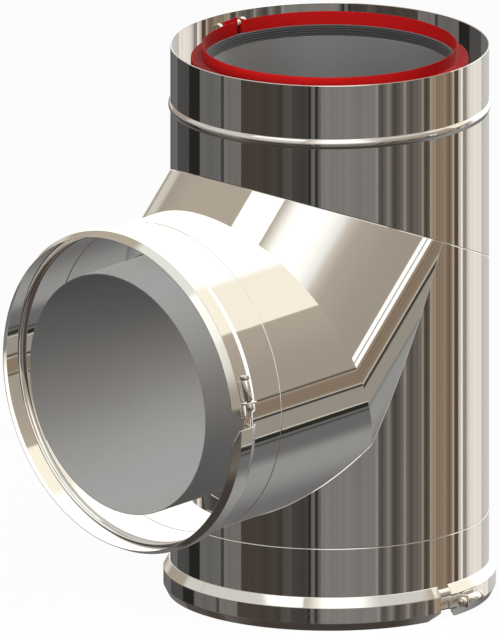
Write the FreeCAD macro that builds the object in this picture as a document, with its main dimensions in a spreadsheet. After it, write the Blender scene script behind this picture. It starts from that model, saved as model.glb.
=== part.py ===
import FreeCAD, Part
import math
import os
import Sketcher

# Twin-wall flue tee, 87 degrees. A straight flue pipe stands inside a polished jacket, and a
# branch of the same bore leaves the run through a mitred shoulder. Locking clamps close round
# the bottom end, the branch end and the flue socket at the top.
# Origin: on the axis of the run, level with the bottom lip. +Z is up, the branch goes to -Y,
# and the lateral axis is X.

doc = FreeCAD.newDocument("TwinWallTee")
sheet = doc.addObject("Spreadsheet::Sheet", "Sizes")

SIZES = (
    # Walls and overall form
    ("jacket_radius", 115.0, "outer radius of every jacket tube"),
    ("jacket_sheet", 0.6, "wall of the jacket"),
    ("air_gap", 25.5, "outside of the flue to the outside of the jacket"),
    ("flue_sheet", 0.5, "wall of the flue pipes"),
    ("overall_height", 406.4, "bottom lip to top rim of the run"),
    ("branch_angle", 87.0, "total turn from the run, going down, to the branch"),
    ("crotch_clearance", 15.9, "seam of the bottom collar to the crotch under the branch"),
    ("shoulder_crest", 28.5, "straight top of the shoulder between its two mitres"),
    ("branch_reach", 133.4, "second mitre to branch lip, along the branch axis"),
    ("reach", 700.0, "extent of the planes that part the run, shoulder and branch"),
    # End collars and beads
    ("collar_length", 60.6, "lip to seam of the bottom collar"),
    ("branch_collar_length", 52.0, "lip to seam of the branch collar"),
    ("collar_inset", 13.6, "lip to the sheet edge of a collar, inside its clamp"),
    ("end_bead_inset", 18.0, "lip to the centre of a collar's end bead"),
    ("end_bead_size", 3.5, "section radius of an end bead"),
    ("end_bead_rise", 3.2, "height of an end bead over the jacket"),
    ("rim_bead_depth", 43.8, "top rim to the bead of the upper jacket"),
    ("rim_bead_size", 4.8, "section radius of the rim bead"),
    ("rim_bead_rise", 1.4, "height of the rim bead over the jacket"),
    # Flue socket and seal
    ("socket_depth", 18.7, "top rim to the socket seam"),
    ("socket_inset", 10.4, "top rim to the socket's sheet edge"),
    ("socket_bead_depth", 15.0, "top rim to the centre of the socket bead"),
    ("socket_bead_size", 3.6, "section radius of the socket bead"),
    ("socket_bead_rise", 4.7, "height of the socket bead over the flue"),
    ("socket_mouth_rise", 0.8, "widening of the socket's mouth, for the next flue's end"),
    ("seal_grip", 0.8, "how far the seal stands into the flue bore"),
    # Outer clamp bands
    ("band_sheet", 0.7, "wall of the clamp bands"),
    ("band_lip_rise", 2.0, "lip over the jacket, at the open edge"),
    ("band_web_rise", 5.0, "web over the jacket"),
    ("band_web_low", 6.0, "lip to the near edge of the web"),
    ("band_web_high", 17.6, "lip to the far edge of the web"),
    ("band_width", 24.5, "lip to the neck"),
    ("gap_before", 2.9, "opening of a split band, before the lock's zero angle, in degrees"),
    ("gap_after", 2.1, "opening of a split band, after it, in degrees"),
    ("taper_length", 12.0, "length of the cut-away lip flange beside the opening"),
    # Flue clamp band
    ("flue_band_sheet", 1.1, "wall of the flue clamp"),
    ("flue_neck_rise", 1.7, "inside of the upright collar over the flue"),
    ("flue_web_rise", 10.6, "web over the flue"),
    ("flue_collar_height", 9.0, "upright collar, top rim to flange"),
    ("flue_web_height", 7.1, "flange to the lower corner of the web"),
    ("flue_flank_drop", 4.4, "fall of the lower flank"),
    ("flue_flank_clearance", 0.3, "flank's inner edge over the flue"),
    ("ear_sheet", 1.2, "thickness of an upturned ear or tab"),
    ("ear_rise", 8.6, "height of the ear over the flue clamp's collar"),
    # Locks
    ("tongue_sheet", 0.65, "thickness of the tongue that bridges the opening"),
    ("tongue_half_width", 4.5, "half width of the tongue"),
    ("tongue_overlap", 6.6, "tongue under the band, in degrees past the opening"),
    ("riser_gap", 0.5, "opening between the riser and the band's end, in degrees"),
    ("riser_sweep", 0.8, "thickness of the tongue's riser, in degrees"),
    ("tab_rise", 7.2, "height of the tongue's tab over the web"),
    ("strap_sheet", 0.8, "thickness of the lug's strap"),
    ("strap_half_width", 5.0, "half width of the lug's strap"),
    ("lug_length", 15.0, "length of a lug"),
    ("lug_angle", 11.0, "middle of an outer clamp's lug, in degrees"),
    ("flue_lug_angle", 5.6, "middle of the flue clamp's lug, in degrees"),
    ("lock_drop", 2.6, "top rim to the screw of the flue clamp"),
    ("roll_radius", 3.2, "outside of a lug's roll"),
    ("roll_bore", 2.4, "bore of a lug's roll"),
    ("tab_gap", 1.5, "lug to tab"),
    ("screw_radius", 2.0, "shank of a draw screw"),
    ("screw_tip", 1.0, "shank past the nut"),
    ("head_radius", 3.5, "head of a draw screw"),
    ("head_length", 3.2, "length of the head"),
    ("hex_flats", 3.0, "socket of the head, across flats"),
    ("hex_depth", 1.8, "depth of the socket"),
    ("nut_radius", 3.0, "outside of a barrel nut"),
    ("nut_length", 4.2, "length of a barrel nut"),
    # Spacers
    ("spacer_width", 12.0, "width of a spacer's strap, legs and feet"),
    ("spacer_sheet", 0.8, "thickness of a spacer"),
    ("spacer_foot", 12.0, "sweep of a spacer's foot, in degrees"),
    ("bottom_spacer_place", 66.0, "bottom lip to the lower edge of the bottom spacer"),
    ("top_spacer_depth", 66.0, "top rim to the upper edge of the top spacer"),
    ("branch_spacer_depth", 66.0, "branch lip to the near edge of the branch spacer"),
    # Clearances
    ("seat", 0.05, "gap between curved faces that are welded or pressed together"),
    ("turn_fit", 0.05, "radial clearance of a screw in its nut"),
    ("head_gap", 0.2, "gap under a screw head"),
    ("slip", 0.3, "gap that lets a piece slide"),
)


class Size:
    """A number together with the expression that binds it to the sheet."""

    def __init__(self, value, text=None):
        self.value = float(value)
        self.text = text if text else repr(float(value))

    def __add__(self, other):
        other = size(other)
        return Size(self.value + other.value, f"({self.text} + {other.text})")

    def __sub__(self, other):
        other = size(other)
        return Size(self.value - other.value, f"({self.text} - {other.text})")

    def __mul__(self, other):
        other = size(other)
        return Size(self.value * other.value, f"({self.text} * {other.text})")

    def __truediv__(self, other):
        other = size(other)
        return Size(self.value / other.value, f"({self.text} / {other.text})")

    def __neg__(self):
        return Size(-self.value, f"(0 - {self.text})")

    __radd__ = __add__
    __rmul__ = __mul__

    def __rsub__(self, other):
        return size(other) - self


def size(number):
    """A plain number is taken as a Size too."""
    return number if isinstance(number, Size) else Size(number)


def sine(angle):
    return Size(math.sin(math.radians(angle.value)), f"sin({angle.text})")


def cosine(angle):
    return Size(math.cos(math.radians(angle.value)), f"cos({angle.text})")


class Sizes:
    """The driving sizes by name."""


S = Sizes()
for row, (alias, number, note) in enumerate(SIZES, start=1):
    sheet.set(f"A{row}", note)
    sheet.set(f"B{row}", str(number))
    sheet.setAlias(f"B{row}", alias)
    setattr(S, alias, Size(number, f"Sizes.{alias}"))


def follow(alias, number, note):
    """Add a size that follows from others to the sheet, as a formula under its own name."""
    row = len(SIZES) + 1 + len(followers)
    followers.append(alias)
    sheet.set(f"A{row}", note)
    sheet.set(f"B{row}", "=" + number.text.replace("Sizes.", ""))
    sheet.setAlias(f"B{row}", alias)
    setattr(S, alias, Size(number.value, f"Sizes.{alias}"))


# Sizes that follow from others. The shoulder spans the jacket between its mitres, and the branch
# sits as low as the bottom collar lets it.
followers = []
half_turn = S.branch_angle / 2
mitre = S.branch_angle / 4
follow("flue_radius", S.jacket_radius - S.air_gap, "outer radius of the flue pipes")
follow("shoulder_length", S.shoulder_crest + 2 * S.jacket_radius * sine(mitre) / cosine(mitre),
       "axis of the shoulder between its two mitres")
follow("shoulder_drop", S.shoulder_length / (2 * cosine(half_turn)),
       "first mitre down to where the branch axis crosses the run")
follow("mitre_height", S.collar_length + S.crotch_clearance + S.shoulder_drop
       + S.jacket_radius * cosine(half_turn) / sine(half_turn), "first mitre on the axis of the run")
doc.recompute()


# Helpers for the document's objects

def bind(thing, path, number):
    """Bind one property to the sheet."""
    thing.setExpression(path, size(number).text)


def cylinder(name, radius, low, high, start=None, sweep=None):
    """Cylinder on the Z axis from low to high, or a sector of it."""
    solid = doc.addObject("Part::Cylinder", name)
    bind(solid, "Radius", radius)
    bind(solid, "Height", size(high) - low)
    bind(solid, "Placement.Base.z", low)
    if sweep is not None:
        bind(solid, "Angle", sweep)
        solid.Placement.Rotation = FreeCAD.Rotation(FreeCAD.Vector(0, 0, 1), 0.5)
        bind(solid, "Placement.Rotation.Angle", start)
    return solid


def torus(name, main_radius, section_radius, height):
    solid = doc.addObject("Part::Torus", name)
    bind(solid, "Radius1", main_radius)
    bind(solid, "Radius2", section_radius)
    bind(solid, "Placement.Base.z", height)
    return solid


def cut(name, base, tool):
    result = doc.addObject("Part::Cut", name)
    result.Base = base
    result.Tool = tool
    return result


def common(name, base, tool):
    result = doc.addObject("Part::Common", name)
    result.Base = base
    result.Tool = tool
    return result


def fuse(name, solids):
    result = doc.addObject("Part::MultiFuse", name)
    result.Shapes = solids
    return result


def ring(name, outer, inner, low, high, start=None, sweep=None):
    """Ring between two radii, or a sector of it."""
    solid = cylinder(name + "_outside", outer, low, high, start, sweep)
    hollow = cylinder(name + "_inside", inner, size(low) - 1, size(high) + 1)
    return cut(name, solid, hollow)


def polygon(sketch, corners):
    """Closed outline with every corner bound to the sheet."""
    count = len(corners)
    points = [FreeCAD.Vector(size(x).value, size(y).value, 0) for x, y in corners]
    for index in range(count):
        sketch.addGeometry(Part.LineSegment(points[index], points[(index + 1) % count]), False)
    for index in range(count):
        sketch.addConstraint(Sketcher.Constraint("Coincident", index, 2, (index + 1) % count, 1))
    for index, corner in enumerate(corners):
        for kind, other_axis, number in (("DistanceX", -2, corner[0]), ("DistanceY", -1, corner[1])):
            if size(number).value == 0:
                sketch.addConstraint(Sketcher.Constraint("PointOnObject", index, 1, other_axis))
                continue
            place = sketch.addConstraint(
                Sketcher.Constraint(kind, -1, 1, index, 1, size(number).value))
            bind(sketch, f"Constraints[{place}]", number)


def zone(name, corners):
    """Prism across X from an outline of (reach towards the branch, height) corners."""
    outline = doc.addObject("Sketcher::SketchObject", name + "_outline")
    outline.Placement = FreeCAD.Placement(
        FreeCAD.Vector(), FreeCAD.Rotation(FreeCAD.Vector(0, -1, 0), FreeCAD.Vector(0, 0, 1),
                                           FreeCAD.Vector(-1, 0, 0), "XYZ"))
    polygon(outline, corners)
    prism = doc.addObject("Part::Extrusion", name)
    prism.Base = outline
    prism.DirMode = "Custom"
    prism.Dir = FreeCAD.Vector(1, 0, 0)
    prism.Symmetric = True
    prism.Solid = True
    bind(prism, "LengthFwd", 4 * S.jacket_radius)
    return prism


def spun_body(name, profile, sweep=None):
    """Body spun round Z from an outline of (radius, height) corners."""
    body = doc.addObject("PartDesign::Body", name)
    outline = body.newObject("Sketcher::SketchObject", name + "_profile")
    plane = [item for item in body.Origin.OriginFeatures if item.Role == "XZ_Plane"][0]
    outline.AttachmentSupport = (plane, [""])
    outline.MapMode = "FlatFace"
    polygon(outline, profile)
    doc.recompute()
    spin = body.newObject("PartDesign::Revolution", name + "_spin")
    spin.Profile = outline
    spin.ReferenceAxis = (outline, ["V_Axis"])
    spin.Angle = 360
    if sweep is not None:
        bind(spin, "Angle", sweep)
    return body


def lean(solid, angle):
    """Turn an object about X and bind the angle."""
    solid.Placement.Rotation = FreeCAD.Rotation(FreeCAD.Vector(1, 0, 0), 1)
    bind(solid, "Placement.Rotation.Angle", angle)


def shift(solid, toward_branch, height):
    bind(solid, "Placement.Base.y", -size(toward_branch))
    bind(solid, "Placement.Base.z", height)


# Where the mitres lie, as (reach towards the branch, height)

drop = S.shoulder_drop
apex = S.shoulder_length / (2 * sine(mitre))
elbow_reach = S.shoulder_length * sine(half_turn)
elbow_height = S.mitre_height - S.shoulder_length * cosine(half_turn)
crossing_height = S.mitre_height - drop
crotch_reach = drop * sine(half_turn)
crotch_height = crossing_height - drop * cosine(half_turn)
apex_reach = apex * cosine(mitre)
apex_height = S.mitre_height + apex * sine(mitre)

first_mitre = (Size(0), S.mitre_height)
crotch = (crotch_reach, crotch_height)
peak = (apex_reach, apex_height)
below_branch = (crotch_reach + S.reach * sine(half_turn),
                crotch_height - S.reach * cosine(half_turn))
above_branch = (apex_reach + S.reach * sine(S.branch_angle),
                apex_height - S.reach * cosine(S.branch_angle))

run_zone_back = (-(S.reach * cosine(mitre)), S.mitre_height - S.reach * sine(mitre))
run_zone_front = (S.reach * cosine(mitre), S.mitre_height + S.reach * sine(mitre))
upper_zone = zone("upper_zone", (
    run_zone_back, run_zone_front,
    (S.reach * cosine(mitre), S.mitre_height + 2 * S.reach),
    (-(S.reach * cosine(mitre)), S.mitre_height + 2 * S.reach)))
shoulder_zone = zone("shoulder_zone", (first_mitre, peak, crotch))
branch_zone = zone("branch_zone", (crotch, peak, above_branch, below_branch))
flue_zone = zone("flue_zone", (
    (Size(0), crossing_height),
    (S.reach * cosine(half_turn), crossing_height + S.reach * sine(half_turn)),
    (S.reach * sine(half_turn), crossing_height - S.reach * cosine(half_turn))))

parts = []


def keep(node, solid):
    """Name a finished sub-part: its label names its file."""
    solid.Label = node
    parts.append(solid)
    return solid


# Jacket

jacket_bore = S.jacket_radius - S.jacket_sheet


def tube(name, low, high):
    return ring(name, S.jacket_radius, jacket_bore, low, high)


def beaded_tube(name, low, high, bead_height, bead_size, bead_rise):
    """Jacket tube with one rolled bead, hollow behind."""
    bead_circle = S.jacket_radius + bead_rise - bead_size
    outside = fuse(name + "_skin", [
        cylinder(name + "_wall", S.jacket_radius, low, high),
        torus(name + "_bead", bead_circle, bead_size, bead_height)])
    inside = fuse(name + "_hollow", [
        cylinder(name + "_bore", jacket_bore, size(low) - 1, size(high) + 1),
        torus(name + "_groove", bead_circle, bead_size - S.jacket_sheet, bead_height)])
    return cut(name, outside, inside)


upper_tube = beaded_tube("upper_tube", Size(0), S.overall_height,
                         S.overall_height - S.rim_bead_depth, S.rim_bead_size, S.rim_bead_rise)
keep("upper_jacket", common("upper_jacket_cut", upper_tube, upper_zone))

shoulder_tube = tube("shoulder_tube", -(2 * S.jacket_radius), S.shoulder_length + 2 * S.jacket_radius)
lean(shoulder_tube, 180 - half_turn)
shift(shoulder_tube, Size(0), S.mitre_height)
keep("shoulder_jacket", common("shoulder_jacket_cut", shoulder_tube, shoulder_zone))

branch_tube = tube("branch_tube", -(2 * S.jacket_radius), S.branch_reach - S.branch_collar_length)
lean(branch_tube, 180 - S.branch_angle)
shift(branch_tube, elbow_reach, elbow_height)
keep("branch_jacket", common("branch_jacket_cut", branch_tube, branch_zone))

lower_tube = tube("lower_tube", S.collar_length, S.overall_height)
opening = fuse("jacket_opening", [upper_zone, shoulder_zone, branch_zone])
keep("lower_jacket", cut("lower_jacket_cut", lower_tube, opening))


def collar(node, length):
    """Spun collar with an end bead, its open end at the lip."""
    return keep(node, beaded_tube(node + "_spun", S.collar_inset, length,
                                  S.end_bead_inset, S.end_bead_size, S.end_bead_rise))


def face_branch(solid):
    """Stand an object that is built from its lip up against the branch lip."""
    lean(solid, -S.branch_angle)
    shift(solid, elbow_reach + S.branch_reach * sine(S.branch_angle),
          elbow_height - S.branch_reach * cosine(S.branch_angle))


collar("bottom_collar", S.collar_length)
face_branch(collar("branch_collar", S.branch_collar_length))


# Flue

flue_bore = S.flue_radius - S.flue_sheet
socket_seam = S.overall_height - S.socket_depth
main_flue = ring("main_flue", S.flue_radius, flue_bore, Size(0), socket_seam)
# The seam of its cylinders faces the back, clear of the branch.
main_flue.Placement = FreeCAD.Placement(
    FreeCAD.Vector(), FreeCAD.Rotation(FreeCAD.Vector(0, 0, 1), 90))
keep("inner_main_pipe", cut("inner_main_pipe_cut", main_flue, flue_zone))

branch_flue = ring("branch_flue", S.flue_radius, flue_bore, -S.reach / 2, S.branch_reach)
lean(branch_flue, 180 - S.branch_angle)
shift(branch_flue, elbow_reach, elbow_height)
keep("inner_branch_pipe", common("inner_branch_pipe_cut", branch_flue, flue_zone))

socket_bead_height = S.overall_height - S.socket_bead_depth
socket_bead_circle = S.flue_radius + S.socket_bead_rise - S.socket_bead_size
socket_edge = S.overall_height - S.socket_inset
socket_outside = fuse("socket_skin", [
    cylinder("socket_wall", S.flue_radius, socket_seam, socket_bead_height),
    torus("socket_bead", socket_bead_circle, S.socket_bead_size, socket_bead_height),
    cylinder("socket_mouth", S.flue_radius + S.socket_mouth_rise, socket_bead_height, socket_edge)])
socket_inside = fuse("socket_hollow", [
    cylinder("socket_bore", flue_bore, socket_seam - 1, socket_bead_height),
    torus("socket_groove", socket_bead_circle, S.socket_bead_size - S.flue_sheet, socket_bead_height),
    cylinder("socket_mouth_bore", flue_bore + S.socket_mouth_rise, socket_bead_height, socket_edge + 1)])
keep("inner_socket", cut("inner_socket_cut", socket_outside, socket_inside))

seal_section = S.socket_bead_size - S.flue_sheet - S.seat
keep("socket_seal", cut(
    "socket_seal_cut",
    torus("seal_ring", socket_bead_circle, seal_section, socket_bead_height),
    cylinder("seal_bore", flue_bore - S.seal_grip, socket_seam - 1, socket_edge + 1)))


# Spacers

def spacer(node, low):
    """Strap round the flue with three legs whose feet press on the jacket."""
    high = low + S.spacer_width
    strap_outside = S.flue_radius + S.seat + S.spacer_sheet
    foot_outside = jacket_bore - S.seat
    pieces = [ring(node + "_strap", strap_outside, S.flue_radius + S.seat, low, high)]
    for leg, angle in enumerate((30, 150, 270)):
        name = f"{node}_{leg}"
        pieces.append(ring(name + "_foot", foot_outside, foot_outside - S.spacer_sheet, low, high,
                           angle - S.spacer_foot / 2, S.spacer_foot))
        leg_box = doc.addObject("Part::Box", name + "_leg")
        bind(leg_box, "Length", foot_outside - S.flue_radius - S.spacer_sheet)
        bind(leg_box, "Width", S.spacer_sheet)
        bind(leg_box, "Height", S.spacer_width)
        leg_box.Placement.Rotation = FreeCAD.Rotation(FreeCAD.Vector(0, 0, 1), angle)
        inner_end = S.flue_radius + S.spacer_sheet / 2
        bind(leg_box, "Placement.Base.x", inner_end * math.cos(math.radians(angle)))
        bind(leg_box, "Placement.Base.y", inner_end * math.sin(math.radians(angle)))
        bind(leg_box, "Placement.Base.z", low)
        pieces.append(leg_box)
    return keep(node, fuse(node + "_welded", pieces))


spacer("bottom_spacer", S.bottom_spacer_place)
spacer("top_spacer", S.overall_height - S.top_spacer_depth - S.spacer_width)
face_branch(spacer("branch_spacer", S.branch_spacer_depth))


# Clamps. Each lock is built round a zero angle at +X of its band's frame and has a hand: the lug
# lies on the side of growing angles when the hand is 1 and on the other side when it is -1.

def degrees(arc, radius):
    """Angle that an arc takes up at a radius."""
    sweep = arc / radius
    return Size(math.degrees(sweep.value), f"({sweep.text} * 180 / pi)")


def along_z(height):
    return FreeCAD.Placement(FreeCAD.Vector(0, 0, size(height).value), FreeCAD.Rotation())


class Lock:
    """Draw screw lock on a split band: where its screw runs, and its pieces."""

    def __init__(self, clamp, frame, hand, angle, band_radius, height, tab_place):
        self.clamp = clamp
        self.frame = frame
        self.hand = hand
        self.angle = angle
        self.band_radius = band_radius
        self.height = height
        self.tab_place = tab_place
        self.screw_line = band_radius + S.seat + S.strap_sheet / 2 + S.roll_radius
        turn = FreeCAD.Rotation(FreeCAD.Vector(0, 0, 1), hand * angle.value)
        along = FreeCAD.Rotation(FreeCAD.Vector(1, 0, 0), 90 * hand)
        # Local Z runs along the screw from its head to its tip, local X out from the band.
        self.screw_frame = FreeCAD.Placement(FreeCAD.Vector(), turn) * FreeCAD.Placement(
            FreeCAD.Vector(self.screw_line.value, 0, height.value), along)

    def sector(self, name, outer, inner, half_width, first, last):
        """Sector of a ring between two lock angles."""
        start = first if self.hand > 0 else -last
        return ring(name, outer, inner, self.height - half_width, self.height + half_width,
                    start, last - first)

    def rod(self, name, radius, low, high):
        """Cylinder along the screw."""
        solid = doc.addObject("Part::Cylinder", name)
        bind(solid, "Radius", radius)
        bind(solid, "Height", high - low)
        solid.Placement = self.screw_frame * along_z(low)
        return solid

    def plate(self, name, low_radius, high_radius, near, thickness, low, high):
        """Upright plate square to the screw, near being its distance from the lug's middle."""
        solid = doc.addObject("Part::Box", name)
        bind(solid, "Length", high_radius - low_radius)
        bind(solid, "Width", thickness)
        bind(solid, "Height", high - low)
        edge = -(near + thickness) if self.hand > 0 else near
        turn = FreeCAD.Rotation(FreeCAD.Vector(0, 0, 1), self.hand * self.angle.value)
        solid.Placement = FreeCAD.Placement(FreeCAD.Vector(), turn) * FreeCAD.Placement(
            FreeCAD.Vector(low_radius.value, edge.value, low.value), FreeCAD.Rotation())
        return solid

    def make_lug(self):
        """Strap on the band with a straight roll that the screw runs through."""
        name = self.clamp + "_lug"
        half_sweep = degrees(S.lug_length / 2, self.band_radius)
        strap = self.sector(name + "_strap", self.band_radius + S.seat + S.strap_sheet,
                            self.band_radius + S.seat, S.strap_half_width,
                            self.angle - half_sweep, self.angle + half_sweep)
        roll = self.rod(name + "_roll", S.roll_radius, -S.lug_length / 2, S.lug_length / 2)
        bore = self.rod(name + "_bore", S.roll_bore, -S.lug_length, S.lug_length)
        lug = keep(name, cut(name + "_cut", fuse(name + "_welded", [strap, roll]), bore))
        lug.Placement = self.frame

    def make_nut(self):
        """Barrel nut that bears on the far face of the tab."""
        name = self.clamp + "_nut"
        bore = S.screw_radius + S.turn_fit
        chamfer = S.nut_radius / 8
        nut = keep(name, spun_body(name + "_body", (
            (bore, Size(0)), (S.nut_radius, Size(0)),
            (S.nut_radius, S.nut_length - chamfer), (S.nut_radius - chamfer, S.nut_length),
            (bore, S.nut_length))))
        nut.Placement = self.frame * self.screw_frame * along_z(self.tab_place + S.ear_sheet)

    def make_screw(self):
        """Cap screw with a hexagon socket."""
        name = self.clamp + "_screw"
        grip = S.lug_length / 2 + S.head_gap
        length = grip + self.tab_place + S.ear_sheet + S.nut_length + S.screw_tip
        chamfer = S.screw_radius / 4
        shank = spun_body(name + "_turned", (
            (Size(0), -S.head_length), (S.head_radius - chamfer, -S.head_length),
            (S.head_radius, chamfer - S.head_length), (S.head_radius, Size(0)),
            (S.screw_radius, Size(0)), (S.screw_radius, length - chamfer),
            (S.screw_radius - chamfer, length), (Size(0), length)))
        hexagon = doc.addObject("Part::Prism", name + "_socket")
        hexagon.Polygon = 6
        bind(hexagon, "Circumradius", S.hex_flats / (2 * cosine(Size(30))))
        bind(hexagon, "Height", S.hex_depth)
        bind(hexagon, "Placement.Base.z", -S.head_length)
        screw = keep(name, cut(name + "_cut", shank, hexagon))
        screw.Placement = self.frame * self.screw_frame * along_z(-grip)
        line = self.frame * self.screw_frame
        print(name, "line through", line.Base, "along", line.Rotation.multVec(FreeCAD.Vector(0, 0, 1)))


def opening_start(hand):
    """Where a split band starts, past its opening."""
    return S.gap_after if hand > 0 else S.gap_before


band_sweep = 360 - S.gap_before - S.gap_after


def lip_taper(name, hand, web_radius):
    """Tool that cuts the lip flange away towards the opening, on the side without the lug."""
    tool = doc.addObject("Part::Box", name)
    bind(tool, "Length", 2 * S.band_width)
    bind(tool, "Width", 2 * S.taper_length)
    bind(tool, "Height", 2 * S.band_web_low)
    slope = math.degrees(math.atan2(S.band_web_low.value, S.taper_length.value))
    place = FreeCAD.Placement(FreeCAD.Vector(), FreeCAD.Rotation(
        FreeCAD.Vector(0, 0, 1), -hand * S.gap_before.value))
    corner = FreeCAD.Placement(
        FreeCAD.Vector((web_radius - S.band_width).value, 0, S.band_web_low.value),
        FreeCAD.Rotation(FreeCAD.Vector(1, 0, 0), hand * slope))
    side = -2 * S.taper_length.value if hand > 0 else 0
    inset = FreeCAD.Placement(
        FreeCAD.Vector(0, side, -2 * S.band_web_low.value), FreeCAD.Rotation())
    tool.Placement = place * corner * inset
    return tool


def outer_clamp(clamp, frame, hand):
    """V band round an end collar, with tongue, lug, nut and screw."""
    lip = S.jacket_radius + S.band_lip_rise
    web = S.jacket_radius + S.band_web_rise
    neck = S.jacket_radius + S.slip + S.band_sheet
    band = spun_body(clamp + "_band_spun", (
        (lip, Size(0)), (web, S.band_web_low), (web, S.band_web_high), (neck, S.band_width),
        (neck - S.band_sheet, S.band_width), (web - S.band_sheet, S.band_web_high),
        (web - S.band_sheet, S.band_web_low), (lip - S.band_sheet, Size(0))), band_sweep)
    band.Placement.Rotation = FreeCAD.Rotation(FreeCAD.Vector(0, 0, 1), opening_start(hand).value)
    taper = lip_taper(clamp + "_lip_taper", hand, web)
    keep(clamp + "_band", cut(clamp + "_band_cut", band, taper)).Placement = frame

    tab_place = S.lug_length / 2 + S.tab_gap
    middle = (S.band_web_low + S.band_web_high) / 2
    lock = Lock(clamp, frame, hand, S.lug_angle, web, middle, tab_place)
    lock.make_lug()
    lock.make_nut()
    lock.make_screw()

    # The tongue is welded under one end of the band, rises through the opening and lies over
    # the other end, where its tab stands up between the nut and the lug.
    under = web - S.band_sheet - S.seat
    over = web + S.seat
    riser_end = S.gap_after - S.riser_gap
    tab_angle = S.lug_angle - degrees(tab_place, web)
    name = clamp + "_tongue"
    plain = [
        lock.sector(name + "_under", under, under - S.tongue_sheet, S.tongue_half_width,
                    -(S.gap_before + S.tongue_overlap), riser_end),
        lock.sector(name + "_riser", over + S.tongue_sheet, under - S.tongue_sheet,
                    S.tongue_half_width, riser_end - S.riser_sweep, riser_end),
        lock.sector(name + "_over", over + S.tongue_sheet, over, S.tongue_half_width,
                    riser_end - S.riser_sweep, tab_angle)]
    tab = cut(name + "_tab", lock.plate(
        name + "_tab_plate", web - S.tab_rise, web + S.tab_rise, tab_place, S.ear_sheet,
        middle - S.tongue_half_width, middle + S.tongue_half_width),
        cylinder(name + "_band_room", over, Size(0), S.band_width))
    hole = lock.rod(name + "_hole", S.roll_bore, tab_place - 1, tab_place + S.ear_sheet + 1)
    tongue = cut(name + "_cut", fuse(name + "_bent", plain + [tab]), hole)
    keep(name, tongue).Placement = frame


def flue_clamp(clamp, frame, hand):
    """Red band round the flue socket: a channel with an upright collar that ends in an ear."""
    top = S.overall_height
    collar_bore = S.flue_radius + S.flue_neck_rise
    collar_face = collar_bore + S.flue_band_sheet
    web = S.flue_radius + S.flue_web_rise
    flange = top - S.flue_collar_height
    corner = flange - S.flue_web_height
    flank_bore = S.flue_radius + S.flue_flank_clearance
    sheet_rise = S.flue_band_sheet * 0.8
    band = spun_body(clamp + "_band_spun", (
        (collar_bore, top), (collar_face, top), (collar_face, flange), (web, flange),
        (web, corner), (flank_bore + S.flue_band_sheet / 2, corner - S.flue_flank_drop - sheet_rise / 4),
        (flank_bore, corner - S.flue_flank_drop + sheet_rise),
        (web - S.flue_band_sheet, corner + sheet_rise),
        (web - S.flue_band_sheet, flange - S.flue_band_sheet),
        (collar_bore, flange - S.flue_band_sheet)), band_sweep)
    band.Placement.Rotation = FreeCAD.Rotation(FreeCAD.Vector(0, 0, 1), opening_start(hand).value)

    opening_edge = collar_face * sine(S.flue_lug_angle + S.gap_before)
    lock = Lock(clamp, frame, hand, S.flue_lug_angle, collar_face, top - S.lock_drop, opening_edge)
    lock.make_lug()
    lock.make_nut()
    lock.make_screw()
    ear = cut(clamp + "_ear", lock.plate(
        clamp + "_ear_plate", collar_bore - S.ear_rise, collar_face + S.ear_rise, opening_edge,
        S.ear_sheet, flange - S.flue_band_sheet / 2, top),
        cylinder(clamp + "_bore_room", collar_bore, Size(0), top + 1))
    hole = lock.rod(clamp + "_ear_hole", S.roll_bore, opening_edge - 1, opening_edge + S.ear_sheet + 1)
    formed = cut(clamp + "_band_cut", fuse(clamp + "_band_fused", [band, ear]), hole)
    keep(clamp + "_band", formed).Placement = frame


def branch_lip_frame():
    """Frame at the branch lip whose Z runs back along the branch."""
    turn = FreeCAD.Rotation(FreeCAD.Vector(1, 0, 0), -S.branch_angle.value)
    reach = elbow_reach + S.branch_reach * sine(S.branch_angle)
    height = elbow_height - S.branch_reach * cosine(S.branch_angle)
    return FreeCAD.Placement(FreeCAD.Vector(0, -reach.value, height.value), turn)


half_round = FreeCAD.Placement(FreeCAD.Vector(), FreeCAD.Rotation(FreeCAD.Vector(0, 0, 1), 180))
outer_clamp("bottom_clamp", FreeCAD.Placement(), 1)
outer_clamp("branch_clamp", branch_lip_frame(), -1)
flue_clamp("inner_clamp", half_round, 1)


def finish():
    """Check every object and write the sub-parts."""
    doc.recompute()
    for item in doc.Objects:
        if "Invalid" in item.State or "Error" in item.State:
            raise RuntimeError(f"{item.Name} failed: {item.State}")
    os.makedirs("parts", exist_ok=True)
    for item in parts:
        shape = item.Shape
        if shape.isNull() or not shape.isValid() or not shape.Solids:
            raise RuntimeError(f"{item.Label} has no valid solid")
        shape.exportStep(f"parts/{item.Label}.step")
        print(item.Label, len(shape.Solids), round(shape.Volume, 1))


finish()
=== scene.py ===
"""Twin-wall flue tee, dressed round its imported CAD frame.

Every sheet is spun, trimmed at its mitres, rolled in at its edges and given its wall. All
lengths are metres, +Z runs up the tee and the branch leaves towards -Y.
"""

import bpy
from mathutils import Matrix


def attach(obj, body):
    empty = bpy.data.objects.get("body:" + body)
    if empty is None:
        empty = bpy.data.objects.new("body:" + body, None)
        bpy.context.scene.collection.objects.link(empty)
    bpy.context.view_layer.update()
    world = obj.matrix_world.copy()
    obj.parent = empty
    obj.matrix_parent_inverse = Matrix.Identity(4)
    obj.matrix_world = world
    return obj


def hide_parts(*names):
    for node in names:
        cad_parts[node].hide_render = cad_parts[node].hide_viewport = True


bl_info = {
    "name": "Twin-wall flue tee",
    "version": (1, 0, 0),
    "blender": (4, 5, 0),
    "location": "3D View > Sidebar > Flue tee",
    "description": "Builds the polished jacket, matt flue, clamps and locks of a twin-wall tee",
    "category": "Add Mesh",
}

from math import acos, atan2, cos, degrees, hypot, pi, radians, sin, sqrt, tan

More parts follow.
